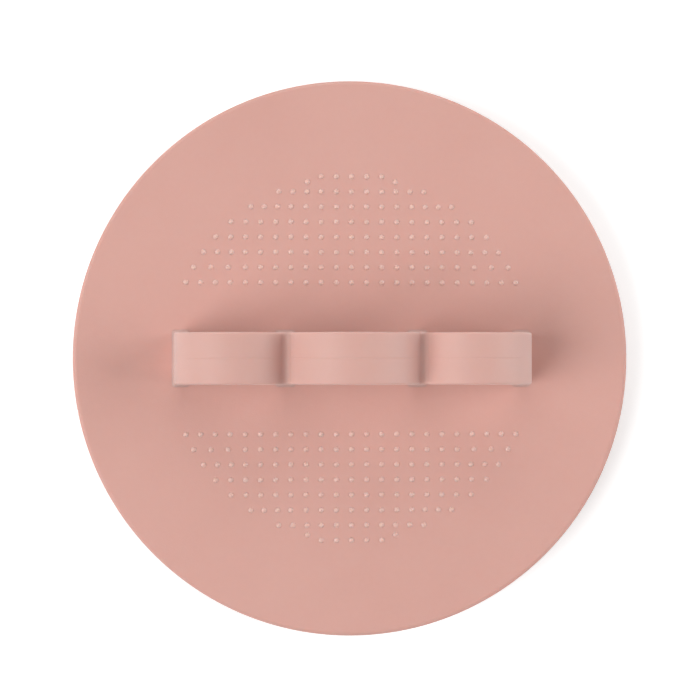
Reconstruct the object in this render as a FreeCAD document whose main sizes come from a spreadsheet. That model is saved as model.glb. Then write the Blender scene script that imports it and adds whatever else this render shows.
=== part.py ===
import FreeCAD, Part

# Facial cleansing pad: a round silicone moulding, held by three finger loops.
#
# The pad lies with its bristles down. The origin is the centre of the plane of the
# bristle tips, +X runs along the row of finger loops, +Y towards the upper field of
# grip nubs, and +Z up through the loops. All sizes are in millimetres.
#
# The real pad is one moulding. It is built here as its natural parts, which meet face
# to face: the disc, the skin with its bristles in four zones, three finger loops that
# meet in the middle of the legs they share, and two fields of grip nubs.

import math
import os

import Sketcher

SIZES = {
    "disc_diameter": (110.0, "across the whole pad"),
    "disc_thickness": (3.0, "of the disc, with the bristle skin in it"),
    "rim_radius": (0.8, "rounding of the disc's two edges"),
    "skin_thickness": (0.6, "of the skin that carries the bristles, let into the disc's front"),
    "bristle_length": (5.0, "from the skin to the tips"),
    "bristle_root": (1.4, "diameter at the skin"),
    "bristle_tip": (0.8, "diameter at the tip"),
    "plain_margin": (5.4, "of the disc's front, outside the bristle skin"),
    "ring_step": (6, "bristles that each ring has more than the ring inside it"),
    "rings_per_zone": (4, "rings of bristles on each zone of the skin"),
    "strap_width": (10.0, "of the finger loops, across the row"),
    "middle_clear": (23.6, "finger room in the middle loop"),
    "outer_clear": (18.2, "finger room in each outer loop"),
    "shared_leg": (2.6, "thickness of a leg that two loops share"),
    "crown_wall": (2.2, "thickness of the arches and of the outer legs"),
    "leg_height": (7.5, "straight part of the legs, below the arches"),
    "edge_radius": (0.35, "rounding along both edges of the loops"),
    "foot_flare": (0.7, "flare of each leg where it meets the disc"),
    "nub_pitch": (3.0, "between neighbouring nubs, both ways"),
    "nub_diameter": (1.1, "across one nub"),
    "nub_height": (0.3, "of one nub above the disc"),
    "first_nub_row": (5, "pitches from the centre line to the nearest row"),
    "last_nub_row": (12, "pitches from the centre line to the farthest row"),
    "nub_reach": (0.45, "pitches past the field's circle at which a nub still belongs"),
    "eased_nubs": (3, "nubs at each end of a row that share its easing onto the circle"),
}

ZONE_NAMES = ("centre", "inner", "middle", "outer")
TOUCH = 1e-4

# Places that several parts share, as expressions on the sheet.
DISC_TOP = "Sizes.bristle_length + Sizes.disc_thickness"
SKIN_RADIUS = "(Sizes.disc_diameter / 2 - Sizes.plain_margin)"
# The rings share out the skin's radius, with half a pitch left outside the last one.
RING_PITCH = f"({SKIN_RADIUS} / ({len(ZONE_NAMES)} * Sizes.rings_per_zone - 0.5))"
MIDDLE_INSIDE = "Sizes.middle_clear / 2"
OUTER_INSIDE = "Sizes.outer_clear / 2"
MIDDLE_OUTSIDE = f"({MIDDLE_INSIDE} + Sizes.crown_wall)"
OUTER_OUTSIDE = f"({OUTER_INSIDE} + Sizes.crown_wall)"
OUTER_CENTRE = f"({MIDDLE_INSIDE} + Sizes.shared_leg + {OUTER_INSIDE})"
# Two neighbouring arches cross in this plane, a notch at the top, and are parted there.
NOTCH = (
    f"(({OUTER_CENTRE} ^ 2 + {MIDDLE_OUTSIDE} ^ 2 - {OUTER_OUTSIDE} ^ 2)"
    f" / (2 * {OUTER_CENTRE}))"
)
CENTRE_TO_NOTCH = f"({OUTER_CENTRE} - {NOTCH})"


# ---------------------------------------------------------------- document helpers

def make_sheet(document):
    """The driving dimensions, one row each: name, value and what it measures."""
    sheet = document.addObject("Spreadsheet::Sheet", "Sizes")
    for row, (alias, (value, meaning)) in enumerate(SIZES.items(), start=1):
        sheet.set(f"A{row}", alias)
        sheet.set(f"B{row}", str(value))
        sheet.set(f"C{row}", meaning)
        sheet.setAlias(f"B{row}", alias)
    document.recompute()
    return sheet


def size(expression):
    """The value of an expression on the sheet."""
    return float(sizes.evalExpression(expression))


def bind(target, expressions):
    """Ties properties of an object to the sheet."""
    for name, expression in expressions.items():
        target.setExpression(name, expression)


def origin_feature(body, role):
    """One of the body's own origin planes or axes."""
    return next(feature for feature in body.Origin.OriginFeatures if feature.Role == role)


def new_body(label, height):
    """An empty body of that name, at a height bound to the sheet."""
    body = doc.addObject("PartDesign::Body", label)
    body.Label = label
    body.setExpression("Placement.Base.z", height)
    return body


def new_sketch(body, role, name):
    """A sketch on one of the body's own origin planes."""
    sketch = body.newObject("Sketcher::SketchObject", name)
    sketch.AttachmentSupport = (origin_feature(body, role), [""])
    sketch.MapMode = "FlatFace"
    return sketch


def drive(sketch, expression, *constraint):
    """Adds a dimension to a sketch and binds it to the sheet."""
    index = sketch.addConstraint(Sketcher.Constraint(*constraint, size(expression)))
    sketch.setExpression(f"Constraints[{index}]", expression)


def add_circle(sketch, radius):
    """A circle round the sketch's origin."""
    start = Part.Circle(FreeCAD.Vector(0, 0, 0), FreeCAD.Vector(0, 0, 1), size(radius))
    circle = sketch.addGeometry(start)
    sketch.addConstraint(Sketcher.Constraint("Coincident", circle, 3, -1, 1))
    drive(sketch, radius, "Radius", circle)


def add_pad(body, sketch, length, name):
    """Pads a sketch away from its plane."""
    pad = body.newObject("PartDesign::Pad", name)
    pad.Profile = sketch
    pad.setExpression("Length", length)
    return pad


def add_fillet(body, base, edges, radius, name):
    """Rounds some edges of the feature before."""
    fillet = body.newObject("PartDesign::Fillet", name)
    fillet.Base = (base, edges)
    fillet.setExpression("Radius", radius)
    return fillet


def edges_where(feature, test):
    """Names of the feature's edges that pass a test."""
    return [f"Edge{index}" for index, edge in enumerate(feature.Shape.Edges, start=1) if test(edge)]


# ---------------------------------------------------------------- disc

def make_disc():
    """The disc: rounded at both edges, with a shallow recess for the bristle skin."""
    body = new_body("base_disc", "Sizes.bristle_length")
    outline = new_sketch(body, "XY_Plane", "disc_outline")
    add_circle(outline, "Sizes.disc_diameter / 2")
    plate = add_pad(body, outline, "Sizes.disc_thickness", "disc_plate")
    doc.recompute()
    rim_edges = edges_where(plate, lambda edge: edge.Closed)
    rim = add_fillet(body, plate, rim_edges, "Sizes.rim_radius", "disc_rim")
    doc.recompute()

    recess_outline = new_sketch(body, "XY_Plane", "recess_outline")
    add_circle(recess_outline, SKIN_RADIUS)
    recess = body.newObject("PartDesign::Pocket", "skin_recess")
    recess.Profile = recess_outline
    recess.Reversed = True
    recess.setExpression("Length", "Sizes.skin_thickness")
    doc.recompute()
    removed = rim.Shape.Volume - recess.Shape.Volume
    expected = math.pi * size(SKIN_RADIUS) ** 2 * size("Sizes.skin_thickness")
    if not math.isclose(removed, expected, rel_tol=TOUCH):
        raise RuntimeError(f"the skin recess removes {removed:.1f} mm3 and not {expected:.1f}")
    return body


# ---------------------------------------------------------------- cleansing face

def make_bristle_zone(name, first_ring):
    """One ring-shaped zone of the skin, with its rings of tapered bristles."""
    body = new_body(f"bristles_{name}", "Sizes.bristle_length")
    outline = new_sketch(body, "XY_Plane", f"{name}_skin_outline")
    add_circle(outline, f"({first_ring} + Sizes.rings_per_zone - 0.5) * {RING_PITCH}")
    if first_ring:
        add_circle(outline, f"({first_ring} - 0.5) * {RING_PITCH}")
    add_pad(body, outline, "Sizes.skin_thickness", f"{name}_skin")
    for ring in range(first_ring, first_ring + int(size("Sizes.rings_per_zone"))):
        bristle = body.newObject("PartDesign::AdditiveCone", f"bristle_{ring}")
        bind(bristle, {
            "Radius1": "Sizes.bristle_tip / 2",
            "Radius2": "Sizes.bristle_root / 2",
            "Height": "Sizes.bristle_length",
            "Placement.Base.x": f"{ring} * {RING_PITCH}",
            "Placement.Base.z": "-Sizes.bristle_length",
        })
        body.Tip = bristle
        if ring:
            body.Tip = repeat_round_ring(body, bristle, ring)
    return body


def repeat_round_ring(body, bristle, ring):
    """Copies a ring's first bristle round the pad's axis."""
    pattern = body.newObject("PartDesign::PolarPattern", f"bristle_ring_{ring}")
    pattern.Originals = [bristle]
    pattern.Axis = (origin_feature(body, "Z_Axis"), [""])
    pattern.Angle = 360
    pattern.Refine = False
    pattern.setExpression("Occurrences", f"{ring} * Sizes.ring_step")
    return pattern


# ---------------------------------------------------------------- finger loops

def add_loop_outline(sketch, inside, outside, joined_sides):
    """The loop's outline: two legs and a half-round arch, cut off at each joined side.

    On a joined side, the leg ends in the notch plane, and the outside of the arch runs
    down to it. On a free side, the arch runs into the leg.
    """
    spring = size("Sizes.leg_height")
    centre = FreeCAD.Vector(0, spring, 0)
    normal = FreeCAD.Vector(0, 0, 1)
    inner = size(inside)
    outer = size(outside)
    parting = {side: size(joined_sides.get(side, outside)) for side in (-1, 1)}
    meeting = {side: math.acos(min(1.0, parting[side] / outer)) for side in (-1, 1)}

    crown = sketch.addGeometry(Part.ArcOfCircle(
        Part.Circle(centre, normal, outer), meeting[1], math.pi - meeting[-1]))
    soffit = sketch.addGeometry(Part.ArcOfCircle(
        Part.Circle(centre, normal, inner), 0, math.pi))
    sketch.addConstraint(Sketcher.Constraint("PointOnObject", crown, 3, -2))
    sketch.addConstraint(Sketcher.Constraint("Coincident", soffit, 3, crown, 3))
    drive(sketch, "Sizes.leg_height", "DistanceY", -1, 1, crown, 3)
    drive(sketch, outside, "Radius", crown)
    drive(sketch, inside, "Radius", soffit)

    for side in (-1, 1):
        end = 1 if side == 1 else 2
        top = spring + outer * math.sin(meeting[side])
        outer_line = add_line(sketch, side * parting[side], 0, side * parting[side], top)
        foot = add_line(sketch, side * parting[side], 0, side * inner, 0)
        inner_line = add_line(sketch, side * inner, 0, side * inner, spring)
        sketch.addConstraint([
            Sketcher.Constraint("Coincident", outer_line, 2, crown, end),
            Sketcher.Constraint("Coincident", inner_line, 2, soffit, end),
            Sketcher.Constraint("Coincident", outer_line, 1, foot, 1),
            Sketcher.Constraint("Coincident", inner_line, 1, foot, 2),
            Sketcher.Constraint("PointOnObject", foot, 1, -1),
            Sketcher.Constraint("PointOnObject", foot, 2, -1),
            Sketcher.Constraint("Vertical", outer_line),
            Sketcher.Constraint("Vertical", inner_line),
            Sketcher.Constraint("Horizontal", soffit, end, soffit, 3),
        ])
        if side in joined_sides:
            expression = joined_sides[side]
            ends = (-1, 1, foot, 1) if side == 1 else (foot, 1, -1, 1)
            drive(sketch, expression, "DistanceX", *ends)
        else:
            sketch.addConstraint(Sketcher.Constraint("Horizontal", crown, end, crown, 3))


def add_line(sketch, x_start, y_start, x_end, y_end):
    """A straight line in a sketch."""
    start = FreeCAD.Vector(x_start, y_start, 0)
    end = FreeCAD.Vector(x_end, y_end, 0)
    return sketch.addGeometry(Part.LineSegment(start, end))


def add_foot(body, side, inside, outside, outer_flare):
    """The flare at the foot of one leg, a low wedge that widens towards the disc."""
    foot = body.newObject("PartDesign::AdditiveWedge", "left_foot" if side < 0 else "right_foot")
    foot.Placement.Rotation = FreeCAD.Rotation(FreeCAD.Vector(1, 0, 0), 90)
    inner_end = "min" if side > 0 else "max"
    outer_end = "max" if side > 0 else "min"
    bind(foot, {
        f"X{inner_end}": f"{side} * ({inside} - Sizes.foot_flare)",
        f"X{outer_end}": f"{side} * ({outside} + {outer_flare})",
        f"X2{inner_end}": f"{side} * {inside}",
        f"X2{outer_end}": f"{side} * {outside}",
        "Zmin": "-Sizes.strap_width / 2 - Sizes.foot_flare",
        "Zmax": "Sizes.strap_width / 2 + Sizes.foot_flare",
        "Z2min": "-Sizes.strap_width / 2",
        "Z2max": "Sizes.strap_width / 2",
        "Ymin": "0",
        "Ymax": "Sizes.foot_flare",
    })
    return foot


def make_finger_loop(name, place, inside, outside, joined_sides):
    """One finger loop, standing on the disc with its tunnel along Y.

    joined_sides gives, for each side (-1 or +1) where a neighbour joins on, the distance
    from the loop's middle to the plane between them.
    """
    body = new_body(f"finger_loop_{name}", DISC_TOP)
    body.setExpression("Placement.Base.x", place)
    outline = new_sketch(body, "XZ_Plane", f"{name}_loop_outline")
    add_loop_outline(outline, inside, outside, joined_sides)
    arch = add_pad(body, outline, "Sizes.strap_width", f"{name}_arch")
    arch.SideType = "Symmetric"
    doc.recompute()

    half_width = size("Sizes.strap_width / 2")
    partings = [side * size(expression) for side, expression in joined_sides.items()]

    def is_long_edge(edge):
        middle = edge.BoundBox.Center
        on_face = math.isclose(abs(middle.y), half_width, abs_tol=TOUCH)
        on_disc = edge.BoundBox.ZMax < TOUCH
        flat = edge.BoundBox.XLength < TOUCH
        on_parting = flat and any(math.isclose(middle.x, x, abs_tol=TOUCH) for x in partings)
        return on_face and edge.BoundBox.YLength < TOUCH and not on_disc and not on_parting

    rounded = edges_where(arch, is_long_edge)
    add_fillet(body, arch, rounded, "Sizes.edge_radius", f"{name}_edges")
    for side in (-1, 1):
        if side in joined_sides:
            body.Tip = add_foot(body, side, inside, joined_sides[side], "0")
        else:
            body.Tip = add_foot(body, side, inside, outside, "Sizes.foot_flare")
    return body


# ---------------------------------------------------------------- grip nubs

def nub_row(row):
    """Places of the nubs in one row of the lattice, in pitches.

    A row holds the lattice points inside the field's circle, or just past it. Its end
    nubs sit on the circle itself, and the nubs beside them take up the difference.
    """
    circle = size("Sizes.last_nub_row")
    eased = int(size("Sizes.eased_nubs"))
    reach = circle + size("Sizes.nub_reach")
    last = int(math.sqrt(reach ** 2 - row ** 2))
    if row == circle:
        pull = circle / math.hypot(last, row)
        ends = [(side * last * pull, row * pull) for side in (-1, 1)]
        return [(float(index), row) for index in range(1 - last, last)] + ends
    shift = math.sqrt(circle ** 2 - row ** 2) - last
    places = []
    for index in range(-last, last + 1):
        side = (index > 0) - (index < 0)
        share = max(0.0, 1 - (last - abs(index)) / eased)
        places.append((index + side * share * shift, row))
    return places


def make_nub_field(name, side):
    """One field of grip nubs, each a low dome on the disc, mirrored by its side."""
    base = size("Sizes.nub_diameter / 2")
    height = size("Sizes.nub_height")
    radius = (base ** 2 + height ** 2) / (2 * height)
    latitude = math.degrees(math.asin((radius - height) / radius))
    dome = Part.makeSphere(radius, FreeCAD.Vector(0, 0, 0), FreeCAD.Vector(0, 0, 1), latitude, 90)
    dome.translate(FreeCAD.Vector(0, 0, height - radius))

    pitch = size("Sizes.nub_pitch")
    rows = range(int(size("Sizes.first_nub_row")), int(size("Sizes.last_nub_row")) + 1)
    nubs = []
    for row in rows:
        for x, y in nub_row(row):
            nubs.append(dome.translated(FreeCAD.Vector(x * pitch, side * y * pitch, 0)))
    field = doc.addObject("Part::Feature", f"grip_nubs_{name}")
    field.Label = f"grip_nubs_{name}"
    field.Shape = Part.makeCompound(nubs)
    field.setExpression("Placement.Base.z", DISC_TOP)
    return field


# ---------------------------------------------------------------- checks and export

def check_document():
    """Stops if anything in the document failed to build."""
    doc.recompute()
    for item in doc.Objects:
        if "Invalid" in item.State or "Error" in item.State:
            raise RuntimeError(f"{item.Label} failed: {item.State}")
        if item.TypeId == "Sketcher::SketchObject" and not item.FullyConstrained:
            raise RuntimeError(f"{item.Label} is not fully constrained")
    for item in parts:
        if item.Shape.isNull() or not item.Shape.isValid():
            raise RuntimeError(f"{item.Label} has no valid shape")


def export_parts():
    """Writes each part to a STEP file of its own name."""
    os.makedirs("parts", exist_ok=True)
    for item in parts:
        item.Shape.exportStep(os.path.join("parts", f"{item.Label}.step"))
        box = item.Shape.BoundBox
        print(
            f"{item.Label:20} {len(item.Shape.Solids):4} solids {item.Shape.Volume:9.1f} mm3"
            f"  x {box.XMin:6.2f} {box.XMax:6.2f}  y {box.YMin:6.2f} {box.YMax:6.2f}"
            f"  z {box.ZMin:6.2f} {box.ZMax:6.2f}"
        )


doc = FreeCAD.newDocument("cleansing_pad")
sizes = make_sheet(doc)

parts = [make_disc()]
for zone, zone_name in enumerate(ZONE_NAMES):
    parts.append(make_bristle_zone(zone_name, zone * int(size("Sizes.rings_per_zone"))))
parts.append(make_finger_loop(
    "left", f"-{OUTER_CENTRE}", OUTER_INSIDE, OUTER_OUTSIDE, {1: CENTRE_TO_NOTCH}))
parts.append(make_finger_loop(
    "middle", "0", MIDDLE_INSIDE, MIDDLE_OUTSIDE, {-1: NOTCH, 1: NOTCH}))
parts.append(make_finger_loop(
    "right", OUTER_CENTRE, OUTER_INSIDE, OUTER_OUTSIDE, {-1: CENTRE_TO_NOTCH}))
parts.append(make_nub_field("upper", 1))
parts.append(make_nub_field("lower", -1))

check_document()
export_parts()
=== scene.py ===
# %% [markdown]
# # A silicone face pad with finger loops
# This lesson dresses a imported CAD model. The CAD says where every part of the pad is and
# how large; each cell below models one part again as a smooth mesh, in the same place,
# and gives it the finish of moulded silicone. The pad lies on its bristles, +Z goes up
# through the finger loops, +X runs along the row of loops, and all lengths are in metres.

# %% Load the CAD frame
import math

import bmesh
import bpy
from mathutils import Matrix, Vector


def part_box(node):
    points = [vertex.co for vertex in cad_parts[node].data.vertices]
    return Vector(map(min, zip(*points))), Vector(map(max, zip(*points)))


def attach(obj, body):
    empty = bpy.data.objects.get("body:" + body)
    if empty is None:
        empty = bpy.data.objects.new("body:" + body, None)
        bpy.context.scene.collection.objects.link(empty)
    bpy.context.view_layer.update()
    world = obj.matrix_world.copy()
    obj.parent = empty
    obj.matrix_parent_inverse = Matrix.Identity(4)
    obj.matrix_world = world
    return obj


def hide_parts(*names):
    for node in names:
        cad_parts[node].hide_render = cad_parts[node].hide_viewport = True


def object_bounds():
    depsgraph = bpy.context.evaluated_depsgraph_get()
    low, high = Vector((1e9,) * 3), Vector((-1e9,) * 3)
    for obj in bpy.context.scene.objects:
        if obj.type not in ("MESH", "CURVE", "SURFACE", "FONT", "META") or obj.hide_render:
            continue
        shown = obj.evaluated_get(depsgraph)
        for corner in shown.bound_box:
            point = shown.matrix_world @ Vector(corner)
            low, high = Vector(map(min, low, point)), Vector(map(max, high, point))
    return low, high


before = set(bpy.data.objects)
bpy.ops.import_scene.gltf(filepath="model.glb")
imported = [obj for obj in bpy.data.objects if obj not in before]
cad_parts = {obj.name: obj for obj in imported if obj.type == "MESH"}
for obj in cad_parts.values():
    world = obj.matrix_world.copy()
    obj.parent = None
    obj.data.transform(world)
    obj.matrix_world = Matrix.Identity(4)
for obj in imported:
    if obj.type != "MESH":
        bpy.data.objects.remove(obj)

MM = 0.001
cad_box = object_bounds()
print("CAD nodes:", sorted(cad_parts))

# %% [markdown]
# ## Reading sizes from the frame
# A mesh that is to match the CAD takes its sizes from the boxes of the CAD nodes, so it
# follows if the pad is made larger. Only what a box can't tell, such as the thickness of
# an arch or the radius of a rounded edge, is a named value here.

# %% Sizes of the pad
disc_low, disc_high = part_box("base_disc")
disc_radius = (disc_high.x - disc_low.x) / 2
disc_top = disc_high.z
disc_front = disc_low.z
skin_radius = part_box("bristles_outer")[1].x
skin_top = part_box("bristles_outer")[1].z
print(f"disc {2 * disc_radius / MM:.1f} mm across, {(disc_top - disc_front) / MM:.1f} mm thick")

# %% [markdown]
# ## Helpers for a piece
# Every piece ends the same way: its mesh is checked for open edges, shaded smooth with
# sharp edges where two faces meet steeply, given its material, and tied to the frame.
# A short helper does this, so that no step is forgotten.

# %% Finish a piece
SHARP_ANGLE = math.radians(35)
CUT_TOLERANCE = 1e-8
SAME_PLACE = 1e-7
QUAD_CORNERS = 4


def open_edges(mesh_in_work):
    """How many edges don't have exactly two faces."""
    return sum(1 for edge in mesh_in_work.edges if len(edge.link_faces) != 2)


def finish_piece(name, mesh_in_work, material, replaced):
    """Turns a bmesh into a finished object that stands for CAD nodes."""
    bmesh.ops.recalc_face_normals(mesh_in_work, faces=mesh_in_work.faces)
    for face in mesh_in_work.faces:
        face.smooth = True
    for edge in mesh_in_work.edges:
        edge.smooth = edge.smooth and edge.calc_face_angle(0) < SHARP_ANGLE
    mesh = bpy.data.meshes.new(name)
    print(f"{name}: {len(mesh_in_work.faces)} faces, {open_edges(mesh_in_work)} open edges")
    mesh_in_work.to_mesh(mesh)
    mesh_in_work.free()
    mesh.materials.append(material)
    piece = bpy.data.objects.new(name, mesh)
    bpy.context.scene.collection.objects.link(piece)
    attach(piece, "root")
    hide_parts(*replaced)
    return piece


def geometry(mesh_in_work):
    """All vertices, edges and faces, as a cut or a spin wants them."""
    return mesh_in_work.verts[:] + mesh_in_work.edges[:] + mesh_in_work.faces[:]


def extruded(mesh_in_work, faces, offset):
    """Extrudes faces, moves them by an offset and returns the moved faces.

    A face of a closed body would be left behind as a wall inside it, so it is deleted.
    """
    left_inside = [face for face in faces if all(len(edge.link_faces) > 1 for edge in face.edges)]
    made = bmesh.ops.extrude_face_region(mesh_in_work, geom=faces)["geom"]
    moved = [item for item in made if isinstance(item, bmesh.types.BMVert)]
    bmesh.ops.translate(mesh_in_work, verts=moved, vec=offset)
    bmesh.ops.delete(mesh_in_work, geom=left_inside, context="FACES_ONLY")
    return [item for item in made if isinstance(item, bmesh.types.BMFace)]


# %% [markdown]
# ## The finish: matte moulded silicone
# A matte mould leaves an even, very fine grain on silicone, which breaks up every
# highlight. Under it the pigment is not quite even: there are faint clouds a centimetre
# or two across. Both effects are wanted on every surface of the pad, with other colours
# and another depth on each, so each effect is a node group with named inputs. A group
# hands out only what varies over the surface: a colour, a roughness, a height.

# %% Node helpers


def new_group(name, inputs, outputs):
    """An empty shader node group with float or colour sockets."""
    group = bpy.data.node_groups.new(name, "ShaderNodeTree")
    for socket_name, kind, value in inputs:
        socket = group.interface.new_socket(socket_name, in_out="INPUT", socket_type=kind)
        socket.default_value = value
    for socket_name, kind in outputs:
        group.interface.new_socket(socket_name, in_out="OUTPUT", socket_type=kind)
    start = group.nodes.new("NodeGroupInput")
    end = group.nodes.new("NodeGroupOutput")
    return group, start, end


def noise(group, coordinates, scale, detail, roughness=0.5):
    """A noise texture on given coordinates; scale is a number or a socket."""
    node = group.nodes.new("ShaderNodeTexNoise")
    group.links.new(coordinates, node.inputs["Vector"])
    if isinstance(scale, (int, float)):
        node.inputs["Scale"].default_value = scale
    else:
        group.links.new(scale, node.inputs["Scale"])
    node.inputs["Detail"].default_value = detail
    node.inputs["Roughness"].default_value = roughness
    return node.outputs["Fac"]


def calculate(group, operation, first, second):
    """A math node on sockets or numbers."""
    node = group.nodes.new("ShaderNodeMath")
    node.operation = operation
    for socket, value in zip(node.inputs, (first, second)):
        if isinstance(value, (int, float)):
            socket.default_value = value
        else:
            group.links.new(value, socket)
    return node.outputs["Value"]


def mixed(group, factor, first, second):
    """A colour mix of two colour sockets or values."""
    node = group.nodes.new("ShaderNodeMix")
    node.data_type = "RGBA"
    for name, value in (("Factor_Float", factor), ("A_Color", first), ("B_Color", second)):
        socket = next(item for item in node.inputs if item.identifier == name)
        if isinstance(value, (int, float, tuple)):
            socket.default_value = value
        else:
            group.links.new(value, socket)
    return next(item for item in node.outputs if item.identifier == "Result_Color")


# %% Clouded pigment
CLOUD_SCALE = 55.0
FLECK_SCALE = 900.0
CLOUD_SHARE = 0.75


def make_pigment_group():
    """Colour and roughness that drift faintly over the silicone."""
    group, start, end = new_group(
        "clouded_pigment",
        [
            ("Pale", "NodeSocketColor", (0.7, 0.4, 0.3, 1)),
            ("Deep", "NodeSocketColor", (0.6, 0.3, 0.3, 1)),
            ("Roughness", "NodeSocketFloat", 0.5),
            ("Unevenness", "NodeSocketFloat", 0.1),
        ],
        [("Colour", "NodeSocketColor"), ("Roughness", "NodeSocketFloat")],
    )
    place = group.nodes.new("ShaderNodeTexCoord").outputs["Object"]
    clouds = noise(group, place, CLOUD_SCALE, 3)
    flecks = noise(group, place, FLECK_SCALE, 2)
    blend = calculate(group, "ADD", calculate(group, "MULTIPLY", clouds, CLOUD_SHARE),
                      calculate(group, "MULTIPLY", flecks, 1 - CLOUD_SHARE))
    colour = mixed(group, blend, start.outputs["Pale"], start.outputs["Deep"])
    drift = calculate(group, "MULTIPLY", calculate(group, "SUBTRACT", blend, 0.5),
                      start.outputs["Unevenness"])
    rough = calculate(group, "ADD", start.outputs["Roughness"], drift)
    group.links.new(colour, end.inputs["Colour"])
    group.links.new(rough, end.inputs["Roughness"])
    return group


# %% Mould grain


def make_grain_group():
    """Height of the fine grain that the mould leaves, with faint broad waviness."""
    group, start, end = new_group(
        "mould_grain",
        [
            ("Grain per metre", "NodeSocketFloat", 2500.0),
            ("Wave per metre", "NodeSocketFloat", 90.0),
            ("Wave share", "NodeSocketFloat", 0.5),
        ],
        [("Height", "NodeSocketFloat")],
    )
    place = group.nodes.new("ShaderNodeTexCoord").outputs["Object"]
    grain = noise(group, place, start.outputs["Grain per metre"], 2, 0.6)
    wave = noise(group, place, start.outputs["Wave per metre"], 1)
    height = calculate(group, "ADD", grain,
                       calculate(group, "MULTIPLY", wave, start.outputs["Wave share"]))
    group.links.new(height, end.inputs["Height"])
    return group


pigment_group = make_pigment_group()
grain_group = make_grain_group()
print("node groups:", [group.name for group in bpy.data.node_groups])

# %% [markdown]
# ## Four materials from one recipe
# The pad is one silicone, so its four materials share a recipe. They differ in finish: the disc is
# the flattest and most matte, the loops have a soft sheen and the nubs are smoother. Two of them also
# carry painted light in their pigment: the nubs' pink is paler than the disc's, a painted highlight
# for the bright spots on the domes, and the bristles' pink turns paler towards the tips, painted
# light for the light that shines through the thin tips. Subsurface scattering gives the soft,
# slightly waxy depth of silicone; its numbers are constants, so they sit on the shader's own sockets.

# %% Silicone recipe
PALE_PINK = (0.674, 0.382, 0.330, 1)
DEEP_PINK = (0.626, 0.338, 0.288, 1)
LOOP_PINKS = ((0.660, 0.388, 0.336, 1), (0.614, 0.347, 0.298, 1))
# The nubs' pinks are paler than the disc's: a painted highlight for the bright spots on the domes.
NUB_HIGHLIGHT_PINKS = ((0.780, 0.485, 0.425, 1), (0.730, 0.435, 0.375, 1))
SILICONE_IOR = 1.41
SCATTER_RADIUS = (1.0, 0.45, 0.3)
SCATTER_DEPTH = 1.2 * MM
GRAIN_DEPTH = 0.05 * MM
SHEEN_ROUGHNESS = 0.5
UNEVENNESS = 0.12


def make_silicone(name, roughness, grain, wave_share, bump, scatter, sheen=0.06,
                  pinks=(PALE_PINK, DEEP_PINK)):
    """A silicone material; returns it with its shader and its pigment colour."""
    material = bpy.data.materials.new(name)
    material.use_nodes = True
    tree = material.node_tree
    shader = tree.nodes["Principled BSDF"]
    shader.inputs["IOR"].default_value = SILICONE_IOR
    shader.inputs["Subsurface Weight"].default_value = scatter
    shader.inputs["Subsurface Radius"].default_value = SCATTER_RADIUS
    shader.inputs["Subsurface Scale"].default_value = SCATTER_DEPTH
    shader.inputs["Sheen Weight"].default_value = sheen
    shader.inputs["Sheen Roughness"].default_value = SHEEN_ROUGHNESS

    pigment = tree.nodes.new("ShaderNodeGroup")
    pigment.node_tree = pigment_group
    pigment.inputs["Pale"].default_value = pinks[0]
    pigment.inputs["Deep"].default_value = pinks[1]
    pigment.inputs["Roughness"].default_value = roughness
    pigment.inputs["Unevenness"].default_value = UNEVENNESS
    tree.links.new(pigment.outputs["Colour"], shader.inputs["Base Color"])
    tree.links.new(pigment.outputs["Roughness"], shader.inputs["Roughness"])

    texture = tree.nodes.new("ShaderNodeGroup")
    texture.node_tree = grain_group
    texture.inputs["Grain per metre"].default_value = grain
    texture.inputs["Wave share"].default_value = wave_share
    relief = tree.nodes.new("ShaderNodeBump")
    relief.inputs["Strength"].default_value = bump
    relief.inputs["Distance"].default_value = GRAIN_DEPTH
    tree.links.new(texture.outputs["Height"], relief.inputs["Height"])
    tree.links.new(relief.outputs["Normal"], shader.inputs["Normal"])
    return material, shader, pigment


disc_silicone, _, _ = make_silicone(
    "disc_silicone", roughness=0.62, grain=2600, wave_share=0.6, bump=0.35, scatter=0.25)
# The nubs get the paler pinks, which are a painted highlight.
nub_silicone, _, _ = make_silicone(
    "nub_silicone", roughness=0.36, grain=2200, wave_share=0.0, bump=0.1, scatter=0.25,
    pinks=NUB_HIGHLIGHT_PINKS)
loop_silicone, _, _ = make_silicone(
    "loop_silicone", roughness=0.5, grain=2200, wave_share=0.3, bump=0.25, scatter=0.3,
    sheen=0.55, pinks=LOOP_PINKS)
bristle_silicone, bristle_shader, bristle_pigment = make_silicone(
    "bristle_silicone", roughness=0.48, grain=2200, wave_share=0.1, bump=0.2, scatter=0.12)

# %% Painted light in the bristle tips
# The paler tip pink is painted light, standing for the light that shines through the thin tips.
TIP_LIGHT_PINK = (0.80, 0.52, 0.47, 1)
TIP_LIGHT_SHARE = 0.7


def paint_tip_light(material, shader, pigment):
    """Mixes the pigment with a paler pink from the bristle's root to its tip: painted light for the
    light that shines through the thin tips.
    """
    tree = material.node_tree
    place = tree.nodes.new("ShaderNodeTexCoord")
    split = tree.nodes.new("ShaderNodeSeparateXYZ")
    tree.links.new(place.outputs["Object"], split.inputs["Vector"])
    ramp = tree.nodes.new("ShaderNodeMapRange")
    ramp.inputs["From Min"].default_value = disc_front
    ramp.inputs["From Max"].default_value = cad_box[0][2]
    tree.links.new(split.outputs["Z"], ramp.inputs["Value"])
    share = calculate(tree, "MULTIPLY", ramp.outputs["Result"], TIP_LIGHT_SHARE)
    colour = mixed(tree, share, pigment.outputs["Colour"], TIP_LIGHT_PINK)
    tree.links.new(colour, shader.inputs["Base Color"])


paint_tip_light(bristle_silicone, bristle_shader, bristle_pigment)

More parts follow.
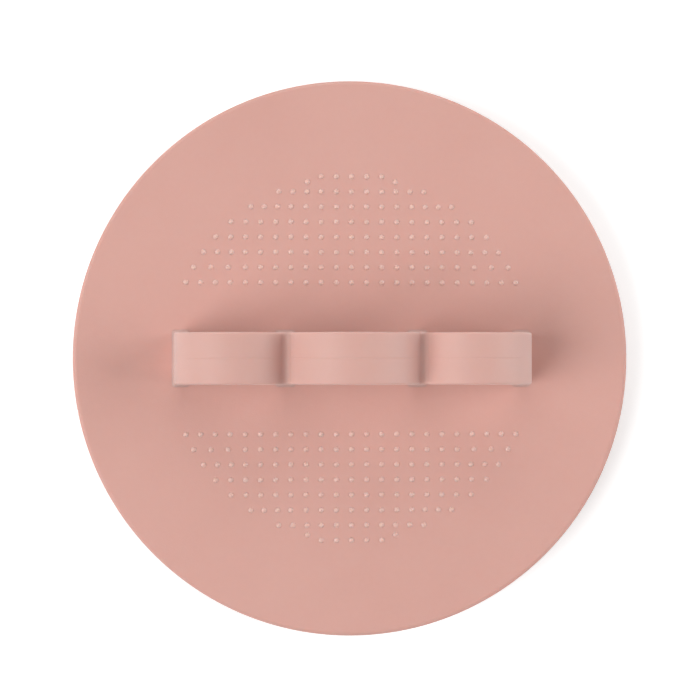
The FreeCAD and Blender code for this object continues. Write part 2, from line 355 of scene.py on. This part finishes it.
# %% [markdown]
# ## The disc
# The disc is a flat round plate with rounded edges. It could be spun from half of its
# section, but a capped circle that is extruded and bevelled keeps one clean flat face on
# each side. Two details make it a moulding: the fine ridge round its rim, where the two
# halves of the mould met, and a shallow recess in front, which the bristle skin fills.
# A narrow inset inside each rounded edge keeps the flat faces' shading flat.

# %% Disc
RIM_SEGMENTS = 288
RIM_RADIUS = 0.8 * MM
RIM_STEPS = 6
SHADING_MARGIN = 0.25 * MM
RIM_RIDGE = 0.05 * MM
RIDGE_CUTS = [share * MM for share in (-0.22, -0.09, 0, 0.09, 0.22)]


def cut_across(mesh_in_work, place, normal, offsets):
    """Cuts new edges into a mesh along planes at some offsets from a place."""
    for offset in offsets:
        bmesh.ops.bisect_plane(mesh_in_work, geom=geometry(mesh_in_work), dist=CUT_TOLERANCE,
                               plane_co=Vector(place) + offset * Vector(normal), plane_no=normal)


def make_disc():
    """The disc, from a capped circle."""
    disc = bmesh.new()
    made = bmesh.ops.create_circle(disc, cap_ends=True, segments=RIM_SEGMENTS, radius=disc_radius)
    bmesh.ops.translate(disc, verts=made["verts"], vec=(0, 0, disc_front))
    back = extruded(disc, disc.faces[:], (0, 0, disc_top - disc_front))[0]
    front = next(face for face in disc.faces if len(face.verts) > QUAD_CORNERS and face is not back)

    rims = list(front.edges) + list(back.edges)
    bmesh.ops.bevel(disc, geom=rims, offset=RIM_RADIUS, offset_type="OFFSET", segments=RIM_STEPS,
                    profile=0.5, affect="EDGES", material=-1)
    flats = [face for face in disc.faces if len(face.verts) > QUAD_CORNERS]
    bmesh.ops.inset_region(disc, faces=flats, thickness=SHADING_MARGIN)

    front = min((face for face in disc.faces if len(face.verts) > QUAD_CORNERS),
                key=lambda face: face.calc_center_median().z)
    to_skin = disc_radius - RIM_RADIUS - SHADING_MARGIN - skin_radius
    bmesh.ops.inset_region(disc, faces=[front], thickness=to_skin)
    extruded(disc, [front], (0, 0, skin_top - disc_front))

    middle = (disc_front + disc_top) / 2
    cut_across(disc, (0, 0, middle), (0, 0, 1), RIDGE_CUTS)
    crest = [vert for vert in disc.verts
             if abs(vert.co.z - middle) < SAME_PLACE and vert.co.xy.length > disc_radius - RIM_RADIUS]
    growth = 1 + RIM_RIDGE / disc_radius
    bmesh.ops.scale(disc, vec=(growth, growth, 1), verts=crest)
    return disc


finish_piece("pad_disc", make_disc(), disc_silicone, ["base_disc"])

# %% [markdown]
# ## The finger loops
# The three loops are one strap with three arches. Its side view is a closed outline of
# lines and arcs, so the outline is drawn first, as a pen would: a vertex is extruded
# along straight runs and spun round the arcs. Filling and extruding it gives the strap,
# and a bevel rounds its long edges. The arches meet in a notch; a small arc that touches
# both of them rounds its bottom, because no mould cutter leaves a knife edge.

# %% Sizes of the strap
FOOT_FLARE = 0.7 * MM
LEG_HEIGHT = 7.5 * MM
CROWN_WALL = 2.2 * MM
NOTCH_RADIUS = 1.2 * MM
EDGE_RADIUS = 0.35 * MM
EDGE_STEPS = 4
ARC_STEP = math.radians(2.5)

outer_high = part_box("finger_loop_right")[1]
middle_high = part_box("finger_loop_middle")[1]
notch_plane = middle_high.x
half_width = outer_high.y - FOOT_FLARE
spring = disc_top + LEG_HEIGHT
outer_radius = outer_high.z - spring
middle_radius = middle_high.z - spring
outer_centre = outer_high.x - FOOT_FLARE - outer_radius
print(f"arches of {outer_radius / MM:.1f} and {middle_radius / MM:.1f} mm, "
      f"{outer_centre / MM:.1f} mm apart, parted at {notch_plane / MM:.2f} mm")

# %% A pen that draws lines and arcs


class Pen:
    """Draws a chain of edges in the plane y = -half_width of a bmesh."""

    def __init__(self, mesh_in_work, x, z):
        self.mesh = mesh_in_work
        self.tip = mesh_in_work.verts.new((x, -half_width, z))
        self.start = self.tip

    def line_to(self, x, z):
        """A straight edge to a point."""
        made = bmesh.ops.extrude_vert_indiv(self.mesh, verts=[self.tip])
        self.tip = made["verts"][0]
        self.tip.co = (x, -half_width, z)

    def arc(self, centre, angle):
        """An arc round a centre (x, z), anticlockwise where the angle is positive."""
        steps = max(2, round(abs(angle) / ARC_STEP))
        made = bmesh.ops.spin(self.mesh, geom=[self.tip], cent=(centre[0], -half_width, centre[1]),
                              axis=(0, -1, 0), angle=angle, steps=steps, use_merge=False)
        self.tip = next(item for item in made["geom_last"]
                        if isinstance(item, bmesh.types.BMVert))

    def close(self):
        """Joins the chain's last point to its first."""
        self.mesh.edges.new((self.tip, self.start))


# %% Where the arches meet
reach_outer = outer_radius + NOTCH_RADIUS
reach_middle = middle_radius + NOTCH_RADIUS
notch_x = (outer_centre ** 2 + reach_middle ** 2 - reach_outer ** 2) / (2 * outer_centre)
notch_rise = math.sqrt(reach_middle ** 2 - notch_x ** 2)
turn_outer = math.atan2(notch_rise, notch_x - outer_centre)
turn_middle = math.atan2(notch_rise, notch_x)
turn_notch = turn_outer - turn_middle
print(f"the notch's arc stands {notch_rise / MM:.2f} mm above the springing")

# %% Outline of the strap


def draw_strap(strap):
    """The strap's side view, from its right foot over the arches and back underneath."""
    foot = disc_top + FOOT_FLARE
    inner = outer_radius - CROWN_WALL
    middle_inner = middle_radius - CROWN_WALL
    pen = Pen(strap, outer_centre + outer_radius, foot)
    pen.line_to(outer_centre + outer_radius, spring)
    pen.arc((outer_centre, spring), turn_outer)
    pen.arc((notch_x, spring + notch_rise), -turn_notch)
    pen.arc((0, spring), math.pi - 2 * turn_middle)
    pen.arc((-notch_x, spring + notch_rise), -turn_notch)
    pen.arc((-outer_centre, spring), turn_outer)
    pen.line_to(-outer_centre - outer_radius, foot)
    for centre, inside in ((-outer_centre, inner), (0, middle_inner), (outer_centre, inner)):
        pen.line_to(centre - inside, foot)
        pen.line_to(centre - inside, spring)
        pen.arc((centre, spring), -math.pi)
        pen.line_to(centre + inside, foot)
    pen.close()


strap = bmesh.new()
draw_strap(strap)
print("outline:", len(strap.verts), "points,", len(strap.edges), "edges")

# %% Body and rounded edges
bmesh.ops.edgeloop_fill(strap, edges=strap.edges[:])
extruded(strap, strap.faces[:], (0, 2 * half_width, 0))


def is_long_edge(edge):
    """An edge of one of the strap's two side faces, but not under a foot."""
    first, second = edge.verts
    in_side = abs(first.co.y - second.co.y) < 1e-9
    under_foot = max(first.co.z, second.co.z) < disc_top + FOOT_FLARE + SAME_PLACE
    return in_side and not under_foot


bmesh.ops.bevel(strap, geom=[edge for edge in strap.edges if is_long_edge(edge)],
                offset=EDGE_RADIUS, offset_type="OFFSET", segments=EDGE_STEPS, profile=0.5,
                affect="EDGES", material=-1)
print("strap:", len(strap.faces), "faces,", open_edges(strap), "open edges")

# %% [markdown]
# ### Feet and parting line
# Each leg widens into the disc with a small hollow curve, which takes the strain off the
# corner. The bottom of each leg is extruded down in a few steps and scaled out a little
# more at each. Along the middle of the arches runs a hairline ridge, where the mould
# parted: five cuts close together, with the middle one lifted by a twentieth of a
# millimetre. Two more cuts beside the rounded edges keep those from bending the shading
# of the whole strap. The ridge fades out down the arches and never reaches the legs.

# %% Feet
FLARE_STEPS = 5


def flare_foot(strap_mesh, foot):
    """Widens one leg towards the disc along a quarter circle."""
    corners = [vert.co for vert in foot.verts]
    low = Vector(min(corner[axis] for corner in corners) for axis in range(3))
    high = Vector(max(corner[axis] for corner in corners) for axis in range(3))
    centre = (low + high) / 2
    half = (high - low) / 2
    spread_before = 0.0
    drop_before = 0.0
    for step in range(1, FLARE_STEPS + 1):
        turn = math.pi / 2 * step / FLARE_STEPS
        spread = FOOT_FLARE * (1 - math.cos(turn))
        drop = FOOT_FLARE * math.sin(turn)
        foot = extruded(strap_mesh, [foot], (0, 0, drop_before - drop))[0]
        growth = [(half[axis] + spread) / (half[axis] + spread_before) for axis in range(2)]
        bmesh.ops.scale(strap_mesh, vec=(*growth, 1), space=Matrix.Translation(-centre),
                        verts=foot.verts[:])
        spread_before = spread
        drop_before = drop


feet = [face for face in strap.faces
        if max(vert.co.z for vert in face.verts) < disc_top + FOOT_FLARE + SAME_PLACE]
for foot_face in feet:
    flare_foot(strap, foot_face)
print("feet:", len(feet), "open edges:", open_edges(strap))

# %% Parting line
PARTING_RIDGE = 0.05 * MM
RIDGE_START = 5 * MM
RIDGE_FADE = 4 * MM
SHADING_CUT = half_width - EDGE_RADIUS - SHADING_MARGIN

cut_across(strap, (0, 0, 0), (0, 1, 0), RIDGE_CUTS + [-SHADING_CUT, SHADING_CUT])
strap.normal_update()
for vert in strap.verts:
    if abs(vert.co.y) < SAME_PLACE:
        share = min(1.0, max(0.0, (vert.co.z - spring - RIDGE_START) / RIDGE_FADE))
        vert.co += vert.normal * PARTING_RIDGE * share

# %% [markdown]
# ### Parting the strap into its loops
# The strap is modelled whole, so that its surface runs on without a seam, and then cut
# in the two notch planes into the three loops that the CAD names. Each cut is closed with
# a flat face, whose edges are sharp so that it does not bend the shading beside it.

# %% Three loops


def loop_between(low_x, high_x):
    """A closed copy of the strap between two planes; None leaves that side whole."""
    part = strap.copy()
    for plane_x, direction in ((low_x, -1), (high_x, 1)):
        if plane_x is None:
            continue
        made = bmesh.ops.bisect_plane(part, geom=geometry(part), dist=CUT_TOLERANCE,
                                      plane_co=(plane_x, 0, 0), plane_no=(direction, 0, 0),
                                      clear_outer=True)
        rim = [item for item in made["geom_cut"] if isinstance(item, bmesh.types.BMEdge)]
        bmesh.ops.edgeloop_fill(part, edges=rim)
        for edge in rim:
            edge.smooth = False
    return part


loop_spans = {
    "left": (None, -notch_plane),
    "middle": (-notch_plane, notch_plane),
    "right": (notch_plane, None),
}
for side, span in loop_spans.items():
    finish_piece(f"loop_{side}", loop_between(*span), loop_silicone,
                 [f"finger_loop_{side}"])
strap.free()

# %% [markdown]
# ## The grip nubs
# Two fields of tiny domes keep the fingers from slipping. They stand on a square lattice
# inside a circle, and the last nubs of each row are eased out onto the circle itself. One
# nub is the cap of a coarse sphere: with hundreds of copies, a few dozen faces each are
# plenty.

# %% One nub
NUB_RADIUS = 0.55 * MM
NUB_HEIGHT = 0.30 * MM
NUB_SUNK = 0.03 * MM
NUB_SIDES = 12
NUB_RINGS = 9


def make_nub_mesh():
    """A spherical cap with a closed base, sunk a little into the disc's back."""
    ball_radius = (NUB_RADIUS ** 2 + NUB_HEIGHT ** 2) / (2 * NUB_HEIGHT)
    ball_centre = disc_top + NUB_HEIGHT - ball_radius
    dome = bmesh.new()
    bmesh.ops.create_uvsphere(dome, u_segments=NUB_SIDES, v_segments=NUB_RINGS,
                              radius=ball_radius)
    bmesh.ops.translate(dome, vec=(0, 0, ball_centre), verts=dome.verts[:])
    bmesh.ops.bisect_plane(dome, geom=geometry(dome), dist=CUT_TOLERANCE,
                           plane_co=(0, 0, disc_top - NUB_SUNK), plane_no=(0, 0, -1),
                           clear_outer=True)
    bmesh.ops.holes_fill(dome, edges=dome.edges[:])
    mesh = bpy.data.meshes.new("nub_pattern")
    print("one nub:", len(dome.faces), "faces,", open_edges(dome), "open edges")
    dome.to_mesh(mesh)
    dome.free()
    return mesh


nub_mesh = make_nub_mesh()

# %% Where the nubs stand
FIRST_ROW = 5
LAST_ROW = 12
NUB_REACH = 0.45
EASED_NUBS = 3
nub_low, nub_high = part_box("grip_nubs_upper")
nub_pitch = (nub_high.y - nub_low.y - 2 * NUB_RADIUS) / (LAST_ROW - FIRST_ROW)
print(f"nub pitch {nub_pitch / MM:.2f} mm")


def nub_row(row):
    """Places of one row's nubs, in pitches from the centre of the pad."""
    last = int(math.sqrt((LAST_ROW + NUB_REACH) ** 2 - row ** 2))
    if row == LAST_ROW:
        pull = LAST_ROW / math.hypot(last, row)
        ends = [(side * last * pull, row * pull) for side in (-1, 1)]
        return [(index, row) for index in range(1 - last, last)] + ends
    shift = math.sqrt(LAST_ROW ** 2 - row ** 2) - last
    places = []
    for index in range(-last, last + 1):
        side = (index > 0) - (index < 0)
        share = max(0.0, 1 - (last - abs(index)) / EASED_NUBS)
        places.append((index + side * share * shift, row))
    return places


# %% Two fields of nubs


def place_copy(mesh_in_work, pattern, x, y):
    """Adds a copy of a small mesh, moved to a place."""
    pattern.transform(Matrix.Translation((x, y, 0)))
    mesh_in_work.from_mesh(pattern)
    pattern.transform(Matrix.Translation((-x, -y, 0)))


for field_name, field_side in (("upper", 1), ("lower", -1)):
    field = bmesh.new()
    for row_number in range(FIRST_ROW, LAST_ROW + 1):
        for across, up in nub_row(row_number):
            place_copy(field, nub_mesh, across * nub_pitch, field_side * up * nub_pitch)
    finish_piece(f"nubs_{field_name}", field, nub_silicone,
                 [f"grip_nubs_{field_name}"])

# %% [markdown]
# ## The bristles
# The cleansing face is a skin with rings of soft tapered bristles. A bristle is a slim
# cone with a rounded tip and a slightly spread root. The first one of each ring is spun
# round the pad's axis with duplicates instead of a swept surface, which is the quickest
# way to a ring of anything. The rings are grouped in the four zones that the CAD names.

# %% One bristle
BRISTLE_ROOT = 0.7 * MM
BRISTLE_TIP = 0.4 * MM
BRISTLE_SIDES = 10
TIP_ROUNDING = 0.28 * MM
TIP_STEPS = 2
ROOT_SPREAD = 1.35
ROOT_DEPTH = 0.3 * MM


def make_bristle_mesh():
    """A bristle on the pad's axis: root at the skin, rounded tip at z = 0."""
    bristle = bmesh.new()
    bmesh.ops.create_cone(bristle, cap_ends=True, segments=BRISTLE_SIDES, radius1=BRISTLE_TIP,
                          radius2=BRISTLE_ROOT, depth=disc_front - ROOT_DEPTH)
    bmesh.ops.translate(bristle, vec=(0, 0, (disc_front - ROOT_DEPTH) / 2), verts=bristle.verts[:])
    caps = sorted((face for face in bristle.faces if len(face.verts) > QUAD_CORNERS),
                  key=lambda face: face.calc_center_median().z)
    root = extruded(bristle, [caps[1]], (0, 0, ROOT_DEPTH))[0]
    bmesh.ops.scale(bristle, vec=(ROOT_SPREAD, ROOT_SPREAD, 1), verts=root.verts[:])
    bmesh.ops.bevel(bristle, geom=caps[0].edges[:], offset=TIP_ROUNDING, offset_type="OFFSET",
                    segments=TIP_STEPS, profile=0.5, affect="EDGES", material=-1)
    mesh = bpy.data.meshes.new("bristle_pattern")
    print("one bristle:", len(bristle.faces), "faces,", open_edges(bristle), "open edges")
    bristle.to_mesh(mesh)
    bristle.free()
    return mesh


bristle_mesh = make_bristle_mesh()

# %% Skin of one zone
SKIN_SEGMENTS = 144


def add_skin(zone, inside, outside):
    """A flat ring, or a disc where inside is 0, as thick as the skin."""
    made = bmesh.ops.create_circle(zone, cap_ends=True, segments=SKIN_SEGMENTS, radius=outside)
    bmesh.ops.translate(zone, verts=made["verts"], vec=(0, 0, disc_front))
    if inside:
        face = next(iter(zone.faces))
        bmesh.ops.inset_region(zone, faces=[face], thickness=outside - inside, use_boundary=True)
        bmesh.ops.delete(zone, geom=[face], context="FACES")
    extruded(zone, zone.faces[:], (0, 0, skin_top - disc_front))


# %% Four zones of bristles
ZONES = ("centre", "inner", "middle", "outer")
RINGS_PER_ZONE = 4
RING_STEP = 6
ring_pitch = skin_radius / (len(ZONES) * RINGS_PER_ZONE - 0.5)
print(f"ring pitch {ring_pitch / MM:.2f} mm")


def add_ring(zone, ring):
    """One ring of bristles, spun from its first one."""
    before = set(zone.verts)
    place_copy(zone, bristle_mesh, ring * ring_pitch, 0)
    count = RING_STEP * ring
    if count:
        fresh = [vert for vert in zone.verts if vert not in before]
        edges = {edge for vert in fresh for edge in vert.link_edges}
        faces = {face for vert in fresh for face in vert.link_faces}
        bmesh.ops.spin(zone, geom=fresh + list(edges) + list(faces), cent=(0, 0, 0),
                       axis=(0, 0, 1), angle=2 * math.pi * (count - 1) / count,
                       steps=count - 1, use_duplicate=True)


for zone_index, zone_name in enumerate(ZONES):
    first_ring = zone_index * RINGS_PER_ZONE
    zone_mesh = bmesh.new()
    inner_edge = max(0.0, (first_ring - 0.5) * ring_pitch)
    add_skin(zone_mesh, inner_edge, (first_ring + RINGS_PER_ZONE - 0.5) * ring_pitch)
    for ring_number in range(first_ring, first_ring + RINGS_PER_ZONE):
        add_ring(zone_mesh, ring_number)
    finish_piece(f"bristle_zone_{zone_name}", zone_mesh, bristle_silicone,
                 [f"bristles_{zone_name}"])

# %% [markdown]
# ## Floor, light and camera
# The pad lies on a plain white floor under a plain white sky. Both are lifted towards
# white only where they are seen, straight or in a reflection, so the lift adds no soft
# light to the pad, and the floor still shows its shadow. Broad soft lights stand round
# it, the strongest one on the left, and a dim even sky lights the rest. The camera looks
# down on the pad's back from a little to the left of its middle.

# %% Floor
FLOOR_SIZE = 4.0
FLOOR_LIFT = 0.45
FLOOR_WHITE = (0.86, 0.86, 0.855, 1)
FLOOR_ROUGHNESS = 0.9


def seen_directly(tree):
    """1 for what the camera sees, straight or in a reflection, and 0 for what only lights."""
    path = tree.nodes.new("ShaderNodeLightPath")
    reflected = calculate(tree, "MAXIMUM", path.outputs["Is Glossy Ray"],
                          path.outputs["Is Transmission Ray"])
    return calculate(tree, "MAXIMUM", path.outputs["Is Camera Ray"], reflected)


def make_floor():
    """A large floor under the bristle tips, whitened where it is seen."""
    floor_mesh = bmesh.new()
    bmesh.ops.create_grid(floor_mesh, x_segments=1, y_segments=1, size=FLOOR_SIZE / 2)
    bmesh.ops.translate(floor_mesh, vec=(0, 0, cad_box[0][2]), verts=floor_mesh.verts[:])
    mesh = bpy.data.meshes.new("floor")
    floor_mesh.to_mesh(mesh)
    floor_mesh.free()
    material = bpy.data.materials.new("floor_white")
    material.use_nodes = True
    tree = material.node_tree
    shader = tree.nodes["Principled BSDF"]
    shader.inputs["Base Color"].default_value = FLOOR_WHITE
    shader.inputs["Roughness"].default_value = FLOOR_ROUGHNESS
    shader.inputs["Specular IOR Level"].default_value = 0.0
    shader.inputs["Emission Color"].default_value = (1, 1, 1, 1)
    lift = calculate(tree, "MULTIPLY", seen_directly(tree), FLOOR_LIFT)
    tree.links.new(lift, shader.inputs["Emission Strength"])
    mesh.materials.append(material)
    floor = bpy.data.objects.new("floor", mesh)
    bpy.context.scene.collection.objects.link(floor)
    return floor


make_floor()

# %% Lights
SKY_SHARE = 0.17
# Each soft sun's azimuth, elevation, share of the light and width; the angles are in degrees.
SUNS = {
    "key_light": (198, 41, 0.48, 46),
    "right_light": (8, 24, 0.22, 44),
    "back_light": (100, 22, 0.12, 50),
    "steep_light": (150, 60, 0.05, 40),
}


def make_sun(name, azimuth, elevation, share, softness):
    """A soft sun that gives a level surface the stated share of its light."""
    lamp = bpy.data.lights.new(name, "SUN")
    lamp.energy = math.pi * share / math.sin(math.radians(elevation))
    lamp.angle = math.radians(softness)
    sun = bpy.data.objects.new(name, lamp)
    bpy.context.scene.collection.objects.link(sun)
    turn = math.radians(azimuth)
    rise = math.radians(elevation)
    towards = Vector((math.cos(turn) * math.cos(rise), math.sin(turn) * math.cos(rise),
                      math.sin(rise)))
    sun.rotation_euler = towards.to_track_quat("Z", "Y").to_euler()
    return sun


for sun_name, sun_values in SUNS.items():
    make_sun(sun_name, *sun_values)

world = bpy.data.worlds.new("studio")
world.use_nodes = True
sky = world.node_tree.nodes["Background"]
sky.inputs["Color"].default_value = (1, 1, 1, 1)
sky_lift = calculate(world.node_tree, "MULTIPLY", seen_directly(world.node_tree), 1 - SKY_SHARE)
sky_strength = calculate(world.node_tree, "ADD", sky_lift, SKY_SHARE)
world.node_tree.links.new(sky_strength, sky.inputs["Strength"])
bpy.context.scene.world = world

# %% Camera
CAMERA_DISTANCE = 0.450
CAMERA_LEAN = math.radians(3)
FRAME_SIZE = 700
POINTS_PER_MM = 5.05
SHIFT_POINTS = (-1.5, 8.4)
SENSOR = 36.0
NEAREST_SEEN = 0.01

camera_data = bpy.data.cameras.new("camera")
camera_data.sensor_width = SENSOR
camera_data.lens = POINTS_PER_MM * (CAMERA_DISTANCE / MM) * SENSOR / FRAME_SIZE
camera_data.shift_x, camera_data.shift_y = (points / FRAME_SIZE for points in SHIFT_POINTS)
camera_data.clip_start = NEAREST_SEEN
camera = bpy.data.objects.new("camera", camera_data)
camera.location = (-CAMERA_DISTANCE * math.sin(CAMERA_LEAN), 0,
                   disc_top + CAMERA_DISTANCE * math.cos(CAMERA_LEAN))
camera.rotation_euler = (0, -CAMERA_LEAN, 0)
bpy.context.scene.collection.objects.link(camera)
bpy.context.scene.camera = camera
bpy.context.scene.view_settings.view_transform = "Standard"
print(f"lens {camera_data.lens:.1f} mm")

# %% Size of the visual model
print("CAD box", [tuple(corner) for corner in cad_box])
